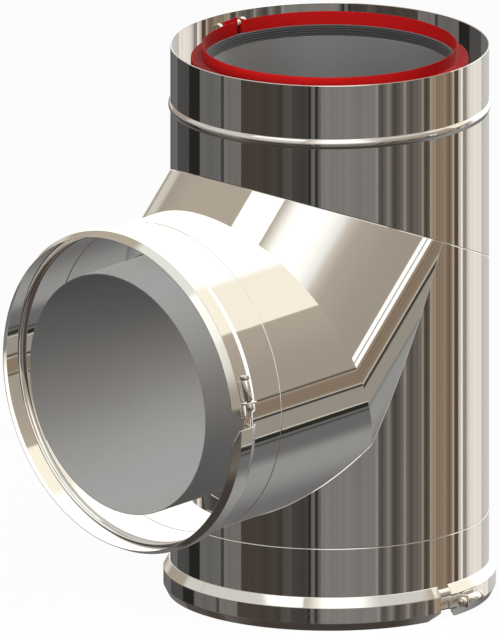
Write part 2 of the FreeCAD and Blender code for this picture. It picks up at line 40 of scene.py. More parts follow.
import bmesh
import bpy
from bpy.props import FloatProperty, FloatVectorProperty, IntProperty, PointerProperty
from mathutils import Matrix, Vector

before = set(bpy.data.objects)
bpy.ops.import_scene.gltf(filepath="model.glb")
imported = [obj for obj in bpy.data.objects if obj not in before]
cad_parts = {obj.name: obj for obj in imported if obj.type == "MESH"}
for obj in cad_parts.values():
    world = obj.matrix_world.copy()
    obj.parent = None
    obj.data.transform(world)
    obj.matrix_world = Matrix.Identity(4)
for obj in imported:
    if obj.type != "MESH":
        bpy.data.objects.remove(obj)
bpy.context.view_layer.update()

FULL_TURN = 2 * pi

# How near a point counts as the same, as on a cut, and as on a weld
SAME, ON_CUT, ON_WELD = 1e-7, 2e-5, 5e-5

# How far the normal of a round face may lean sideways
MOST_SIDEWAYS = 0.3

# Blanks that are longer than the piece that is trimmed from them: where they start and end
UPPER_BLANK_START = 0.1
SHOULDER_BLANK = (-0.2, 0.4)
BRANCH_BLANK_SPARE = 0.3
PIPE_BLANK_END = 0.4


def length(name, description, default):
    return FloatProperty(name=name, description=description, default=default,
                         subtype="DISTANCE", unit="LENGTH", precision=5)


def angle(name, description, default):
    return FloatProperty(name=name, description=description, default=radians(default),
                         subtype="ANGLE", unit="ROTATION")


def colour(name, description, default):
    return FloatVectorProperty(name=name, description=description, default=default,
                               size=3, min=0.0, max=1.0, subtype="COLOR")


class JacketSizes(bpy.types.PropertyGroup):
    """Sizes of the polished outer sheets."""

    radius: length("Radius", "Outside of every jacket tube", 0.115)
    sheet: length("Sheet", "Wall of the jacket", 0.0006)
    height: length("Height", "Bottom lip to top rim", 0.4064)
    turn: angle("Branch turn", "Turn from the run, going down, to the branch", 87)
    crest: length("Shoulder crest", "Straight top of the shoulder", 0.0285)
    crotch: length("Crotch clearance", "Bottom collar's seam to the crotch", 0.0159)
    reach: length("Branch reach", "Second mitre to the branch lip", 0.1334)
    collar: length("Bottom collar", "Lip to seam of the bottom collar", 0.0606)
    branch_collar: length("Branch collar", "Lip to seam of the branch collar", 0.052)
    inset: length("Collar inset", "Lip to the edge of a collar's sheet", 0.0136)
    end_bead: length("End bead", "Lip to the middle of a collar's bead", 0.018)
    end_bead_size: length("End bead size", "Section radius of an end bead", 0.0035)
    end_bead_rise: length("End bead rise", "Height of an end bead", 0.0032)
    rim_bead: length("Rim bead", "Top rim to the middle of its bead", 0.0438)
    rim_bead_size: length("Rim bead size", "Section radius of the rim bead", 0.0048)
    rim_bead_rise: length("Rim bead rise", "Height of the rim bead", 0.0014)
    end_fillet: length("End bead fillet", "Radius at the foot of an end bead", 0.00035)
    rim_fillet: length("Rim bead fillet", "Radius at the foot of the rim bead", 0.0012)
    edge_roll: length("Edge roll", "Width of the rolled-in sheet edge at a seam", 0.0005)
    edge_dip: length("Edge dip", "How far the edge of a sheet is rolled in", 0.00022)
    steps: IntProperty(name="Steps", description="Facets round a large ring", default=288, min=24)


class FlueSizes(bpy.types.PropertyGroup):
    """Sizes of the inner flue, its socket, seal and spacers."""

    radius: length("Radius", "Outside of the flue pipes", 0.0895)
    sheet: length("Sheet", "Wall of the flue pipes", 0.0005)
    seam: length("Socket seam", "Top rim to the socket seam", 0.0187)
    edge: length("Socket edge", "Top rim to the edge of the socket", 0.0104)
    bead: length("Socket bead", "Top rim to the middle of the socket bead", 0.015)
    bead_size: length("Bead size", "Section radius of the socket bead", 0.0036)
    bead_rise: length("Bead rise", "Height of the socket bead", 0.0047)
    mouth: length("Mouth rise", "Widening of the socket's mouth", 0.0008)
    rib_pitch: length("Rib pitch", "Distance between the seal's ribs", 0.0018)
    seal_cover: length("Seal cover", "How far the seal's lip covers the socket bead", 0.0036)
    seal_grip: length("Seal grip", "How far the seal stands into the bore", 0.0008)


class ClampSizes(bpy.types.PropertyGroup):
    """Sizes of the split bands and their locks."""

    sheet: length("Sheet", "Wall of an outer band", 0.0007)
    lip: length("Lip rise", "Band's lip over the jacket", 0.002)
    web: length("Web rise", "Band's web over the jacket", 0.005)
    web_low: length("Web low", "Lip to the near edge of the web", 0.006)
    web_high: length("Web high", "Lip to the far edge of the web", 0.0176)
    width: length("Width", "Lip to the neck", 0.0245)
    before: angle("Opening before", "Opening of a band before its lock's zero angle", 2.9)
    after: angle("Opening after", "Opening of a band after it", 2.1)
    taper: length("Lip taper", "Length over which the lip runs out", 0.0105)
    corner: length("Lip corner", "Length of the lip's corner on the lug's side", 0.0060)
    least_lip: FloatProperty(name="Least lip", default=0.16,
                             description="Share of the lip left at the band's end")
    red_sheet: length("Flue band sheet", "Wall of the flue clamp", 0.0011)
    red_neck: length("Flue band neck", "Inside of its collar over the flue", 0.0017)
    red_web: length("Flue band web", "Web over the flue", 0.0106)
    red_collar: length("Flue band collar", "Height of the upright collar", 0.009)
    red_web_height: length("Flue band web height", "Flange to the lower corner", 0.0071)
    red_flank: length("Flue band flank", "Fall of the lower flank", 0.0044)
    slip: length("Slip", "Gap that lets a band slide", 0.0003)
    seat: length("Seat", "Gap between seated faces", 0.00005)
    lug_angle: angle("Lug angle", "Middle of an outer clamp's lug", 11)
    red_lug_angle: angle("Flue lug angle", "Middle of the flue clamp's lug", 5.6)
    lug_length: length("Lug length", "Length of a lug's roll", 0.015)
    strap: length("Strap", "Thickness of a lug's strap", 0.0008)
    strap_half: length("Strap half width", "Half width of a lug's strap", 0.005)
    roll: length("Roll radius", "Outside of a lug's roll", 0.0032)
    roll_bore: length("Roll bore", "Bore of a lug's roll", 0.0024)
    tongue: length("Tongue", "Thickness of the tongue", 0.00065)
    tongue_half: length("Tongue half width", "Half width of the tongue", 0.0045)
    tab: length("Tab", "Thickness of an upturned tab or ear", 0.0012)
    tab_rise: length("Tab rise", "Height of a tab over the web", 0.0072)
    tab_gap: length("Tab gap", "Lug to tab", 0.0015)
    ear_rise: length("Ear rise", "Height of the flue clamp's ear", 0.0086)
    lock_drop: length("Lock drop", "Top rim to the flue clamp's screw", 0.0026)
    screw: length("Screw radius", "Shank of a draw screw", 0.002)
    screw_tip: length("Screw tip", "Shank past the nut", 0.001)
    head: length("Head radius", "Head of a draw screw", 0.0035)
    head_length: length("Head length", "Length of a screw's head", 0.0032)
    head_gap: length("Head gap", "Gap under the head", 0.0002)
    hex_flats: length("Socket flats", "Socket of the head, across flats", 0.003)
    hex_depth: length("Socket depth", "Depth of the socket", 0.0018)
    nut: length("Nut radius", "Outside of a barrel nut", 0.003)
    nut_length: length("Nut length", "Length of a barrel nut", 0.0042)


class Finishes(bpy.types.PropertyGroup):
    """Colours of the finishes."""

    jacket: colour("Jacket", "Mirror-polished stainless sheet", (0.82, 0.81, 0.79))
    clamp: colour("Clamp", "Polished stainless strip", (0.86, 0.85, 0.82))
    flue: colour("Flue", "Matt stainless sheet", (0.34, 0.345, 0.355))
    spring: colour("Spring strip", "Plain spring stainless", (0.50, 0.50, 0.49))
    plated: colour("Plated steel", "Nuts and screws", (0.72, 0.70, 0.64))
    red: colour("Red", "Satin coating of the flue clamp", (0.39, 0.008, 0.008))
    seal: colour("Seal", "Dark silicone", (0.030, 0.030, 0.033))
    floor: colour("Floor", "Pale studio floor", (0.88, 0.88, 0.88))


class StageSizes(bpy.types.PropertyGroup):
    """View and light."""

    azimuth: angle("Azimuth", "Side that the camera looks from", 45)
    elevation: angle("Elevation", "Height of the camera over the horizon", 15.134)
    span: length("Span", "Height of the view", 0.45697)
    aim: FloatVectorProperty(name="Aim", description="Middle of the view", size=3,
                             default=(-0.0406, -0.0406, 0.2028), subtype="TRANSLATION",
                             unit="LENGTH")
    fill: FloatProperty(name="Fill", description="Strength of the even light", default=0.10)
    key: FloatProperty(name="Key", description="Power of the key lamp in watts", default=11.0)


# Where the mitres lie

def side_point(reach, height):
    """Point in the tee's middle plane, reach towards the branch."""
    return Vector((0, -reach, height))


class Mitres:
    """Corners that part the run, the shoulder and the branch."""

    def __init__(self, jacket):
        half, quarter = jacket.turn / 2, jacket.turn / 4
        shoulder = jacket.crest + 2 * jacket.radius * tan(quarter)
        drop = shoulder / (2 * cos(half))
        top = jacket.collar + jacket.crotch + jacket.radius / tan(half) + drop
        apex = shoulder / (2 * sin(quarter))
        self.half = half
        self.first = side_point(0, top)
        self.back = side_point(-cos(quarter), top - sin(quarter))
        self.second = side_point(shoulder * sin(half), top - shoulder * cos(half))
        self.crossing = side_point(0, top - drop)
        self.crotch = side_point(drop * sin(half), top - drop - drop * cos(half))
        self.peak = side_point(apex * cos(quarter), top + apex * sin(quarter))
        self.below = self.crotch + side_point(sin(half), -cos(half))
        self.way = side_point(sin(jacket.turn), -cos(jacket.turn))
        self.lip = self.second + self.way * jacket.reach
        self.run_frame = Matrix.Identity(4)
        self.shoulder_frame = (Matrix.Translation(self.first)
                               @ Matrix.Rotation(pi - half, 4, "X"))
        self.lip_frame = Matrix.Translation(self.lip) @ Matrix.Rotation(-jacket.turn, 4, "X")


def plane_through(first, second):
    """Plane across the tee through two points, facing up when they go towards the branch."""
    return first, (second - first).cross(Vector((1, 0, 0))).normalized()


def beyond(point, plane):
    """How far a point lies on the normal's side of a plane."""
    return (point - plane[0]).dot(plane[1])


# Shaping with mesh operators

def bead_profile(base, rise, size, height, fillet=0.0, segments=14):
    """Outline points of a rolled bead with rounded feet, going up."""
    centre = base + rise - size
    points = []
    if fillet:
        foot = sqrt((size + fillet) ** 2 - (size + fillet - rise) ** 2)
        reach = atan2(foot, size + fillet - rise)
        for step in range(5):
            turn = pi - reach * step / 5
            points.append((base + fillet + fillet * cos(turn),
                           height - foot + fillet * sin(turn)))
    else:
        reach = acos((size - rise) / size)
    for step in range(segments + 1):
        turn = reach * (2 * step / segments - 1)
        points.append((centre + size * cos(turn), height + size * sin(turn)))
    if fillet:
        points += [(radius, 2 * height - place) for radius, place in reversed(points[:5])]
    return points


def spin_profile(outline, steps, closed=False, start=0.0, sweep=FULL_TURN):
    """Spin an outline of (radius, height) points round Z."""
    bm = bmesh.new()
    points = [bm.verts.new((radius, 0, height)) for radius, height in outline]
    pairs = list(zip(points, points[1:]))
    if closed:
        pairs.append((points[-1], points[0]))
    edges = [bm.edges.new(pair) for pair in pairs]
    bmesh.ops.rotate(bm, verts=points, cent=(0, 0, 0), matrix=Matrix.Rotation(start, 3, "Z"))
    full = sweep >= FULL_TURN
    bmesh.ops.spin(bm, geom=points + edges, cent=(0, 0, 0), axis=(0, 0, 1), dvec=(0, 0, 0),
                   angle=sweep, steps=steps, use_merge=full, use_duplicate=False)
    bmesh.ops.remove_doubles(bm, verts=bm.verts[:], dist=SAME)
    if closed and not full:
        bmesh.ops.holes_fill(bm, edges=[e for e in bm.edges if e.is_boundary], sides=0)
    face_out(bm)
    return bm


def square_ring(outer, inner, low, high, steps, **arc):
    """Spin a rectangular section round Z."""
    return spin_profile([(outer, low), (outer, high), (inner, high), (inner, low)], steps,
                        closed=True, **arc)


def move(bm, matrix):
    """Carry a whole mesh to its place."""
    bmesh.ops.transform(bm, matrix=matrix, verts=bm.verts[:])


def face_out(bm):
    """Turn every face of a mesh outward."""
    bmesh.ops.recalc_face_normals(bm, faces=bm.faces[:])


def give_wall(bm, sheet):
    """Give a skin the wall of its sheet, inward."""
    face_out(bm)
    bmesh.ops.solidify(bm, geom=bm.faces[:], thickness=sheet)


def creases(bm, sharper_than):
    """Edges where a mesh turns by more than so many degrees."""
    limit = radians(sharper_than)
    return [edge for edge in bm.edges
            if edge.is_manifold and edge.calc_face_angle(0.0) > limit]


def soften_creases(bm, width, segments=2):
    """Bevel every crease of a mesh."""
    bmesh.ops.bevel(bm, geom=creases(bm, 25), offset=width, offset_type="OFFSET",
                    segments=segments, profile=0.5, affect="EDGES", clamp_overlap=True,
                    material=-1)


def sharpen(bm):
    """Mark creases so that smooth shading stops there."""
    for edge in creases(bm, 40):
        edge.smooth = False


def trim(bm, planes, drop, margin=0.0):
    """Cut a mesh along planes and a margin either side, and take away what drop says."""
    for point, normal in planes:
        for shift in ((-margin, margin, 0.0) if margin else (0.0,)):
            bmesh.ops.bisect_plane(bm, geom=bm.verts[:] + bm.edges[:] + bm.faces[:], dist=ON_CUT,
                                   plane_co=point + normal * shift, plane_no=normal)
    gone = [face for face in bm.faces if drop(face.calc_center_median())]
    bmesh.ops.delete(bm, geom=gone, context="FACES")


def roll_edges(bm, axis_frame, dip, welded):
    """Roll the open edges of a skin inward, but not where a weld is ground flush."""
    inverse = axis_frame.inverted()
    for vert in bm.verts:
        if vert.is_boundary and not any(abs(beyond(vert.co, weld)) < ON_WELD for weld in welded):
            local = inverse @ vert.co
            radius = hypot(local.x, local.y)
            scale = (radius - dip) / radius
            vert.co = axis_frame @ Vector((local.x * scale, local.y * scale, local.z))


def ring_normals(mesh, axis_frame, crease=30):
    """Give round faces their exact normals, so that a trimmed edge leaves no ripple."""
    inverse = axis_frame.inverted()
    turn_in, turn_out = inverse.to_3x3(), axis_frame.to_3x3()
    limit = cos(radians(crease))
    slopes = []
    for face in mesh.polygons:
        middle, normal = inverse @ face.center, turn_in @ face.normal
        out = Vector((middle.x, middle.y)).normalized()
        flat = Vector((normal.x, normal.y))
        sideways = abs(out.x * flat.y - out.y * flat.x)
        slopes.append((flat.dot(out), normal.z, face.area, sideways < MOST_SIDEWAYS))
    around = [[] for _ in mesh.vertices]
    for face in mesh.polygons:
        for vertex in face.vertices:
            around[vertex].append(face.index)
    normals = [None] * len(mesh.loops)
    for face in mesh.polygons:
        own_out, own_up, _, is_round = slopes[face.index]
        for loop in face.loop_indices:
            vertex = mesh.loops[loop].vertex_index
            if not is_round:
                normals[loop] = face.normal.copy()
                continue
            out_sum = up_sum = 0.0
            for other in around[vertex]:
                out_part, up_part, area, other_round = slopes[other]
                if other_round and out_part * own_out + up_part * own_up > limit:
                    out_sum += out_part * area
                    up_sum += up_part * area
            local = inverse @ mesh.vertices[vertex].co
            radial = Vector((local.x, local.y)).normalized()
            normal = Vector((radial.x * out_sum, radial.y * out_sum, up_sum))
            normals[loop] = (turn_out @ normal).normalized()
    mesh.normals_split_custom_set(normals)


def link_object(name, data):
    """New object in the scene that no reflection sees."""
    thing = bpy.data.objects.new(name, data)
    thing.visible_glossy = False
    bpy.context.scene.collection.objects.link(thing)
    return thing


def finished_mesh(name, bm, material):
    """Mesh data from a working mesh, with its one material."""
    mesh = bpy.data.meshes.new(name)
    bm.to_mesh(mesh)
    bm.free()
    mesh.materials.append(material)
    return mesh


def add_piece(name, bm, slot, nodes, axis_frame=None, crease=30, body="tee"):
    """Turn a mesh into a finished piece that rides on a CAD body."""
    mesh = finished_mesh(name, bm, finish(slot))
    mesh.shade_smooth()
    if axis_frame is not None:
        ring_normals(mesh, axis_frame, crease)
    piece = link_object(name, mesh)
    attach(piece, body)
    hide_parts(*nodes)


def join(meshes):
    """One mesh from several."""
    result = bmesh.new()
    for part in meshes:
        scratch = bpy.data.meshes.new("scratch")
        part.to_mesh(scratch)
        part.free()
        result.from_mesh(scratch)
        bpy.data.meshes.remove(scratch)
    return result


# Finishes

# Where a noise pattern counts as low and as high
PATTERN_LOW, PATTERN_HIGH = 0.3, 0.7
RELIEF = 0.0002

# Each finish: its colour, its roughness from and to, how far its tone varies, the scale, detail
# and fineness along Z of its grain, the scale and detail of its tone, the strength of its
# relief, and the shader's own settings.
METAL, SOFT_TONE = {"Metallic": 1.0}, (9.0, 2.0)
FINISHES = {
    "polished_jacket": ("jacket", (0.02, 0.05), 0.010, (60.0, 4.0, 9), SOFT_TONE, 0.0, METAL),
    "polished_clamp": ("clamp", (0.04, 0.09), 0.012, (80.0, 4.0, 9), SOFT_TONE, 0.0, METAL),
    "matt_flue": ("flue", (0.46, 0.54), 0.015, (320.0, 4.0, 0.25), SOFT_TONE, 0.05,
                  {"Metallic": 0.7}),
    "spring_steel": ("spring", (0.24, 0.34), 0.03, (300.0, 4.0, 0.2), SOFT_TONE, 0.08, METAL),
    "plated_screw": ("plated", (0.16, 0.28), 0.05, (500.0, 4.0, 1), SOFT_TONE, 0.05, METAL),
    "red_clamp": ("red", (0.40, 0.50), 0.05, (260.0, 3.0, 1), (14.0, 2.0), 0.12,
                  {"Specular IOR Level": 0.02}),
    "seal": ("seal", (0.50, 0.66), 0.2, (420.0, 5.0, 1), (420.0, 5.0), 0.2, {}),
}


class Graph:
    """Node tree with short ways to add nodes and to join them."""

    def __init__(self, tree):
        self.nodes, self.links = tree.nodes, tree.links

    def feed(self, socket, value):
        """Join an output to a socket, or set the socket's own value."""
        if isinstance(value, bpy.types.NodeSocket):
            self.links.new(value, socket)
        else:
            socket.default_value = value

    def add(self, kind, inputs, output=0, **settings):
        """Add a node with its settings and inputs, and give back one of its outputs."""
        node = self.nodes.new("ShaderNode" + kind)
        for name, value in settings.items():
            setattr(node, name, value)
        for key, value in inputs.items():
            self.feed(node.inputs[key], value)
        return node.outputs[output]

    def math(self, kind, *values):
        return self.add("Math", dict(enumerate(values)), operation=kind)


class Finish(Graph):
    """Material with one shader, and the patterns that its finish is made of."""

    def __init__(self, name):
        self.material = bpy.data.materials.new(name)
        self.material.use_nodes = True
        super().__init__(self.material.node_tree)
        self.shader = self.nodes["Principled BSDF"]

    def set(self, socket, value):
        self.feed(self.shader.inputs[socket], value)

    def grain(self, scale, detail, finer=1):
        """Noise in the object's own space, finer along Z or coarser."""
        where = self.add("TexCoord", {}, "Object")
        place = self.add("Mapping", {"Vector": where, "Scale": (1, 1, finer)})
        return self.add("TexNoise", {"Vector": place, "Scale": scale, "Detail": detail})

    def tint(self, pattern, base, change):
        """Let the colour vary a little either way with a pattern."""
        ramp = self.nodes.new("ShaderNodeValToRGB")
        stops = zip(ramp.color_ramp.elements, (PATTERN_LOW, PATTERN_HIGH), (-change, change))
        for stop, place, shift in stops:
            stop.position = place
            stop.color = [min(1.0, part * (1 + shift)) for part in base] + [1.0]
        self.feed(ramp.inputs["Fac"], pattern)
        self.set("Base Color", ramp.outputs["Color"])


def finish(key):
    """Material of one finish, made once."""
    name = key + "_finish"
    if name not in bpy.data.materials:
        shade, (smooth, rough), change, grain, tone, relief, settings = FINISHES[key]
        made = Finish(name)
        for socket, value in settings.items():
            made.set(socket, value)
        pattern = made.grain(*grain)
        made.set("Roughness", made.add("MapRange", {
            "Value": pattern, "From Min": PATTERN_LOW, "From Max": PATTERN_HIGH,
            "To Min": smooth, "To Max": rough}))
        made.tint(made.grain(*tone), getattr(bpy.context.scene.flue_finishes, shade), change)
        if relief:
            made.set("Normal", made.add("Bump", {
                "Height": pattern, "Strength": relief, "Distance": RELIEF}))
    return bpy.data.materials[name]


# Jacket

def jacket_skin(jacket, low, high, beads):
    """Spun tube outside, with a bead at each (middle, size, rise, fillet)."""
    roll = jacket.edge_roll
    outline = [(jacket.radius, low), (jacket.radius, low + roll)]
    for middle, size, rise, fillet in beads:
        outline += bead_profile(jacket.radius, rise, size, middle, fillet)
    outline += [(jacket.radius, high - roll), (jacket.radius, high)]
    return spin_profile(outline, jacket.steps)


class JacketOperator(bpy.types.Operator):
    """Spin the tubes and collars of the jacket, and trim the tubes at their mitres"""

    bl_idname = "flue.jacket"
    bl_label = "Jacket"

    def execute(self, context):
        jacket = context.scene.flue_jacket
        mitres = Mitres(jacket)
        first = plane_through(mitres.first, mitres.peak)
        second = plane_through(mitres.crotch, mitres.peak)
        front = plane_through(mitres.first, mitres.crotch)
        below = plane_through(mitres.crotch, mitres.below)
        back = plane_through(mitres.back, mitres.first)
        rim_bead = (jacket.height - jacket.rim_bead, jacket.rim_bead_size, jacket.rim_bead_rise,
                    jacket.rim_fillet)
        end_bead = (jacket.end_bead, jacket.end_bead_size, jacket.end_bead_rise,
                    jacket.end_fillet)
        run, shoulder, branch = mitres.run_frame, mitres.shoulder_frame, mitres.lip_frame
        # Name, start, end, beads and axis of the blank, its cuts, what goes, and flush welds
        for name, low, high, beads, place, cuts, goes, welded in (
                ("upper_jacket", UPPER_BLANK_START, jacket.height, [rim_bead], run, [first],
                 lambda spot: beyond(spot, first) < 0, []),
                ("shoulder_jacket", *SHOULDER_BLANK, [], shoulder, [first, second, front],
                 lambda spot: beyond(spot, first) > 0 or beyond(spot, second) < 0
                 or beyond(spot, front) < 0, [second]),
                ("branch_jacket", jacket.branch_collar, jacket.reach + BRANCH_BLANK_SPARE, [],
                 branch, [second, below],
                 lambda spot: beyond(spot, second) > 0 or beyond(spot, below) < 0, [second]),
                ("lower_jacket", jacket.collar, jacket.height, [], run, [back, front, below],
                 lambda spot: beyond(spot, back) > 0
                 or (beyond(spot, front) > 0 and beyond(spot, below) > 0), []),
                ("bottom_collar", jacket.inset, jacket.collar, [end_bead], run, [], None, []),
                ("branch_collar", jacket.inset, jacket.branch_collar, [end_bead], branch, [],
                 None, [])):
            bm = jacket_skin(jacket, low, high, beads)
            move(bm, place)
            if cuts:
                trim(bm, cuts, goes, jacket.edge_roll)
            roll_edges(bm, place, jacket.edge_dip, welded)
            give_wall(bm, jacket.sheet)
            add_piece(name + "_sheet", bm, "polished_jacket", [name], place, crease=20)
        return {"FINISHED"}


# Flue

# One rib of the seal: share of the pitch, and how far it stands back from the grip
RIB = ((0.15, 0), (0.55, 0), (0.72, 0.0010), (0.98, 0.0010))
RIBS = 4
# Back of the seal, which fills the socket's bead: share of the bead's section out and up
SEAL_BACK = ((0, 0.97), (0.7, 0.7), (0.97, 0), (0.7, -0.7), (0, -0.97))
SEAL_FOOT, SEAL_NECK = 0.85, 0.95
# How far the seal stands back from the grip at its foot, at its lip and at its crown, how far
# its crown and its cover stand over the rim, how near its faces come to steel, and its edges
FOOT_BACK, LIP_BACK, CROWN_BACK, CROWN_UP, COVER_UP = 0.0008, 0.0004, 0.0006, 0.0007, 0.0006
SEAL_CLEAR, SEAL_EDGE = 0.0001, 0.00015
# How far the socket's bead is followed up past its middle before it may meet the mouth
BEAD_TURN = 0.002


class FlueOperator(bpy.types.Operator):
    """Spin the flue pipes, trim their saddle, and spin the socket and its seal"""

    bl_idname = "flue.inner_pipes"
    bl_label = "Flue pipes and socket"

    def execute(self, context):
        jacket, flue = context.scene.flue_jacket, context.scene.flue_pipes
        mitres = Mitres(jacket)
        out, up = cos(mitres.half), sin(mitres.half)
        rise, fall = (plane_through(mitres.crossing, mitres.crossing + side_point(*way))
                      for way in ((out, up), (up, -out)))

        def in_branch(middle):
            return beyond(middle, rise) < 0 and beyond(middle, fall) > 0 and middle.y < 0

        seam = jacket.height - flue.seam
        main = spin_profile([(flue.radius, 0), (flue.radius, seam)], jacket.steps)
        trim(main, [rise, fall], in_branch)
        branch = spin_profile([(flue.radius, 0), (flue.radius, PIPE_BLANK_END)], jacket.steps)
        move(branch, mitres.lip_frame)
        trim(branch, [rise, fall], lambda middle: not in_branch(middle))
        for name, bm, place in (("inner_main_pipe", main, mitres.run_frame),
                                ("inner_branch_pipe", branch, mitres.lip_frame)):
            give_wall(bm, flue.sheet)
            add_piece(name + "_sheet", bm, "matt_flue", [name], place)

        bead = jacket.height - flue.bead
        circle = bead_profile(flue.radius, flue.bead_rise, flue.bead_size, bead, segments=20)
        mouth = flue.radius + flue.mouth
        outline = [(flue.radius, seam)] + [
            (radius, up) for radius, up in circle if up < bead + BEAD_TURN or radius > mouth]
        outline += [(mouth, bead + flue.bead_size), (mouth, jacket.height - flue.edge)]
        socket = spin_profile(outline, jacket.steps)
        give_wall(socket, flue.sheet)
        add_piece("inner_socket_sheet", socket, "matt_flue", ["inner_socket"], mitres.run_frame)

        grip = flue.radius - flue.sheet - flue.seal_grip
        section = flue.bead_size - flue.sheet
        centre = flue.radius + flue.bead_rise - flue.bead_size
        low, pitch = bead - section * SEAL_FOOT, flue.rib_pitch
        ribs = [(grip + depth, low + rib * pitch + pitch * share)
                for rib in range(RIBS) for share, depth in RIB]
        top = low + RIBS * pitch
        rim, cover = jacket.height - flue.edge, flue.radius + flue.seal_cover
        back = flue.radius + 2 * SEAL_CLEAR
        seal = spin_profile(ribs + [
            (grip + LIP_BACK, top), (grip + CROWN_BACK, rim + CROWN_UP), (cover, rim + COVER_UP),
            (cover, rim + SEAL_CLEAR), (back, rim + SEAL_CLEAR),
            (back, bead + section * SEAL_NECK),
            *[(centre + section * out, bead + section * up) for out, up in SEAL_BACK],
            (grip + FOOT_BACK, low)], jacket.steps, closed=True)
        soften_creases(seal, SEAL_EDGE)
        add_piece("socket_lip_seal", seal, "seal", ["socket_seal"], mitres.run_frame, crease=40)
        return {"FINISHED"}


class SpacersOperator(bpy.types.Operator):
    """Give the spacers inside the tee their spring steel"""

    bl_idname = "flue.spacers"
    bl_label = "Spacers"

    def execute(self, context):
        for name in ("bottom_spacer", "top_spacer", "branch_spacer"):
            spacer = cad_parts[name]
            spacer.visible_glossy = False
            for slot in spacer.material_slots:
                slot.material = finish("spring_steel")
        return {"FINISHED"}


# Clamps

SCREW_STEPS, ROLL_STEPS = 36, 40
# Width of the rounded edges of strip, bands, the flue clamp, its ear, nuts and screws
STRIP_EDGE, BAND_EDGE, RED_EDGE, EAR_EDGE = 0.00012, 0.0003, 0.0004, 0.0003
NUT_EDGE, SCREW_EDGE = 0.0003, 0.0002
# Ring round the socket of a screw, as a multiple of the shank, and the chamfer of its tip
SOCKET_RING, TIP_CHAMFER = 1.2, 0.0005
# How far beyond the end of a band its lip still counts as the lip's end
LIP_SLACK = 0.001
# Where the tongue comes up between the ends of a band, how long that is, and how far it
# reaches under the band on the other side
RISER_GAP, RISER, TONGUE_REACH = radians(0.5), radians(0.8), radians(6.6)
# Share of the flue band's wall at the corners of its lower flank
FLANK_FOOT, FLANK_CORNER = 0.2, 0.8


class Lock:
    """Where the screw of one clamp runs, and how its band is turned."""

    def __init__(self, clamps, name, band_frame, hand, angle, band_radius, height, tab_place):
        self.name, self.band_frame, self.hand, self.angle = name, band_frame, hand, angle
        self.band_radius, self.height, self.tab_place = band_radius, height, tab_place
        self.turn = Matrix.Rotation(hand * angle, 4, "Z")
        line = band_radius + clamps.seat + clamps.strap / 2 + clamps.roll
        self.screw_frame = (band_frame @ self.turn @ Matrix.Translation((line, 0, height))
                            @ Matrix.Rotation(hand * pi / 2, 4, "X"))

    def sector(self, outer, inner, half_width, first, last):
        """Bent strip between two lock angles."""
        low, high = self.height - half_width, self.height + half_width
        start = first if self.hand > 0 else -last
        steps = max(6, int(degrees(last - first) * 2))
        return square_ring(outer, inner, low, high, steps, start=start, sweep=last - first)

    def plate(self, low_radius, high_radius, near, thickness, low, high):
        """Upright plate square to the screw."""
        bm = bmesh.new()
        bmesh.ops.create_cube(bm, size=1.0)
        middle = ((low_radius + high_radius) / 2, -self.hand * (near + thickness / 2),
                  (low + high) / 2)
        move(bm, self.turn @ Matrix.Translation(middle)
             @ Matrix.Diagonal((high_radius - low_radius, thickness, high - low, 1)))
        return bm

    def add(self, suffix, bm, slot, place=None, body="tee", width=STRIP_EDGE):
        """Round, place and add one piece of the lock."""
        soften_creases(bm, width)
        if place is not None:
            move(bm, place)
        sharpen(bm)
        name = f"{self.name}_{suffix}"
        add_piece(name + "_formed", bm, slot, [name], body=body)


def make_lug(clamps, lock, slot):
    """Strap on the band with the roll that the screw runs in."""
    half, seat = clamps.lug_length / 2, lock.band_radius + clamps.seat
    half_sweep = half / lock.band_radius
    strap = lock.sector(seat + clamps.strap, seat, clamps.strap_half,
                        lock.angle - half_sweep, lock.angle + half_sweep)
    move(strap, lock.band_frame)
    roll = square_ring(clamps.roll, clamps.roll_bore, -half, half, ROLL_STEPS)
    move(roll, lock.screw_frame)
    lock.add("lug", join([strap, roll]), slot)


def sink_socket(bm, height, flats, depth):
    """Close the open end of a spun head round a hexagon socket."""
    rim = [edge for edge in bm.edges if edge.is_boundary]
    corners = bmesh.ops.create_circle(bm, cap_ends=False, segments=6,
                                      radius=flats / sqrt(3),
                                      matrix=Matrix.Translation((0, 0, height)))["verts"]
    mouth = list({edge for vert in corners for edge in vert.link_edges})
    bmesh.ops.bridge_loops(bm, edges=rim + mouth)
    walls = bmesh.ops.extrude_edge_only(bm, edges=mouth)["geom"]
    bmesh.ops.translate(bm, vec=(0, 0, depth),
                        verts=[part for part in walls if isinstance(part, bmesh.types.BMVert)])
    bmesh.ops.holes_fill(bm, edges=[e for e in bm.edges if e.is_boundary], sides=0)
    face_out(bm)


def make_nut_and_screw(clamps, lock):
    """Barrel nut against the tab, and the screw from the lug to it."""
    nut = square_ring(clamps.nut, clamps.screw, 0, clamps.nut_length, SCREW_STEPS)
    place = lock.screw_frame @ Matrix.Translation((0, 0, lock.tab_place + clamps.tab))
    lock.add("nut", nut, "plated_screw", place, width=NUT_EDGE)

    grip = clamps.lug_length / 2 + clamps.head_gap
    shank = grip + lock.tab_place + clamps.tab + clamps.nut_length + clamps.screw_tip
    start = -clamps.head_length
    screw = spin_profile([
        (clamps.screw * SOCKET_RING, start), (clamps.head, start), (clamps.head, 0),
        (clamps.screw, 0), (clamps.screw, shank - TIP_CHAMFER),
        (clamps.screw - TIP_CHAMFER, shank), (0, shank)], SCREW_STEPS)
    sink_socket(screw, start, clamps.hex_flats, clamps.hex_depth)
    place = lock.screw_frame @ Matrix.Translation((0, 0, -grip))
    lock.add("screw", screw, "plated_screw", place, f"{lock.name}_draw", SCREW_EDGE)


